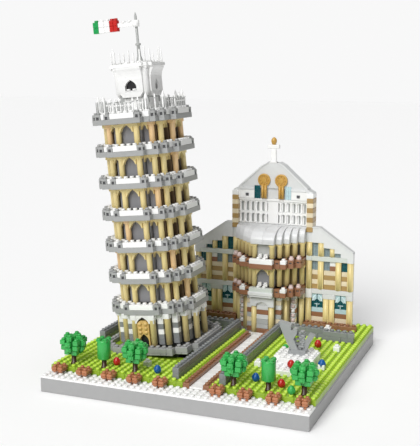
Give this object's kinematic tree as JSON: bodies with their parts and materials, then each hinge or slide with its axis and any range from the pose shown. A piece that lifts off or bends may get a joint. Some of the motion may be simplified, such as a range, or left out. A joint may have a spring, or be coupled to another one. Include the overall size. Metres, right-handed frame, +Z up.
{
  "type": "miniature landmark model",
  "caption": "Tabletop micro-brick model of a leaning round bell tower beside a cathedral front, with lawns, walls, trees, planters and a fountain on a square studded slab.",
  "frame": {"origin": "centre of the flat underside of the base slab", "axes": "+X to the right seen from the front, +Y towards the cathedral at the back, +Z up"},
  "size_m": [0.1631, 0.16, 0.2174],
  "materials": {
    "white_brick": "moulded plastic",
    "lime_brick": "moulded plastic",
    "brown_brick": "moulded plastic",
    "copper_brick": "moulded plastic",
    "green_brick": "moulded plastic",
    "grey_brick": "moulded plastic",
    "gold_brick": "moulded plastic",
    "light_grey_brick": "moulded plastic",
    "flag_brick": "moulded plastic",
    "tan_brick": "moulded plastic"
  },
  "bodies": {
    "model": {"apse_band_lower": "brown_brick", "apse_band_upper": "brown_brick", "apse_gallery_lower": "tan_brick", "apse_gallery_upper": "tan_brick", "apse_ground_floor": "tan_brick", "apse_half_dome": "white_brick", "base_slab": "white_brick", "belfry": "white_brick", "border_row_left": "brown_brick", "border_row_right": "brown_brick", "cathedral_wing_left": "tan_brick", "cathedral_wing_right": "tan_brick", "fountain_basin": "white_brick", "fountain_sculpture": "light_grey_brick", "gable_cross": "white_brick", "garden_wall_left": "grey_brick", "garden_wall_right": "grey_brick", "lawn_left": "lime_brick", "lawn_right": "lime_brick", "mast": "light_grey_brick", "nave_colonnade": "white_brick", "nave_wall": "light_grey_brick", "path": "white_brick", "path_edging_left": "brown_brick", "path_edging_right": "brown_brick", "planter_1": "copper_brick", "planter_2": "copper_brick", "planter_3": "copper_brick", "planter_4": "copper_brick", "planter_5": "copper_brick", "planter_6": "copper_brick", "planter_7": "copper_brick", "planter_8": "copper_brick", "planter_9": "copper_brick", "rose_window_left": "gold_brick", "rose_window_right": "gold_brick", "tower_arcade_1": "tan_brick", "tower_arcade_2": "tan_brick", "tower_arcade_3": "tan_brick", "tower_arcade_4": "tan_brick", "tower_arcade_5": "tan_brick", "tower_arcade_6": "tan_brick", "tower_balustrade": "white_brick", "tower_door": "gold_brick", "tower_foot": "light_grey_brick", "tower_gallery_1": "light_grey_brick", "tower_gallery_2": "light_grey_brick", "tower_gallery_3": "light_grey_brick", "tower_gallery_4": "light_grey_brick", "tower_gallery_5": "light_grey_brick", "tower_gallery_6": "light_grey_brick", "tower_gallery_7": "light_grey_brick", "tower_ground_floor": "tan_brick", "tree_left_1": "green_brick", "tree_left_2": "green_brick", "tree_left_3": "green_brick", "tree_right_1": "green_brick", "tree_right_2": "green_brick", "tree_right_3": "green_brick"},
    "flag_body": {"flag": "flag_brick"}
  },
  "joints": [
    {"name": "flag_swivel", "type": "hinge", "parent": "model", "child": "flag_body", "pos_m": [-0.05408, -0.002, 0.21048], "axis": [-0.0958, 0, 0.9954], "continuous": true}
  ]
}
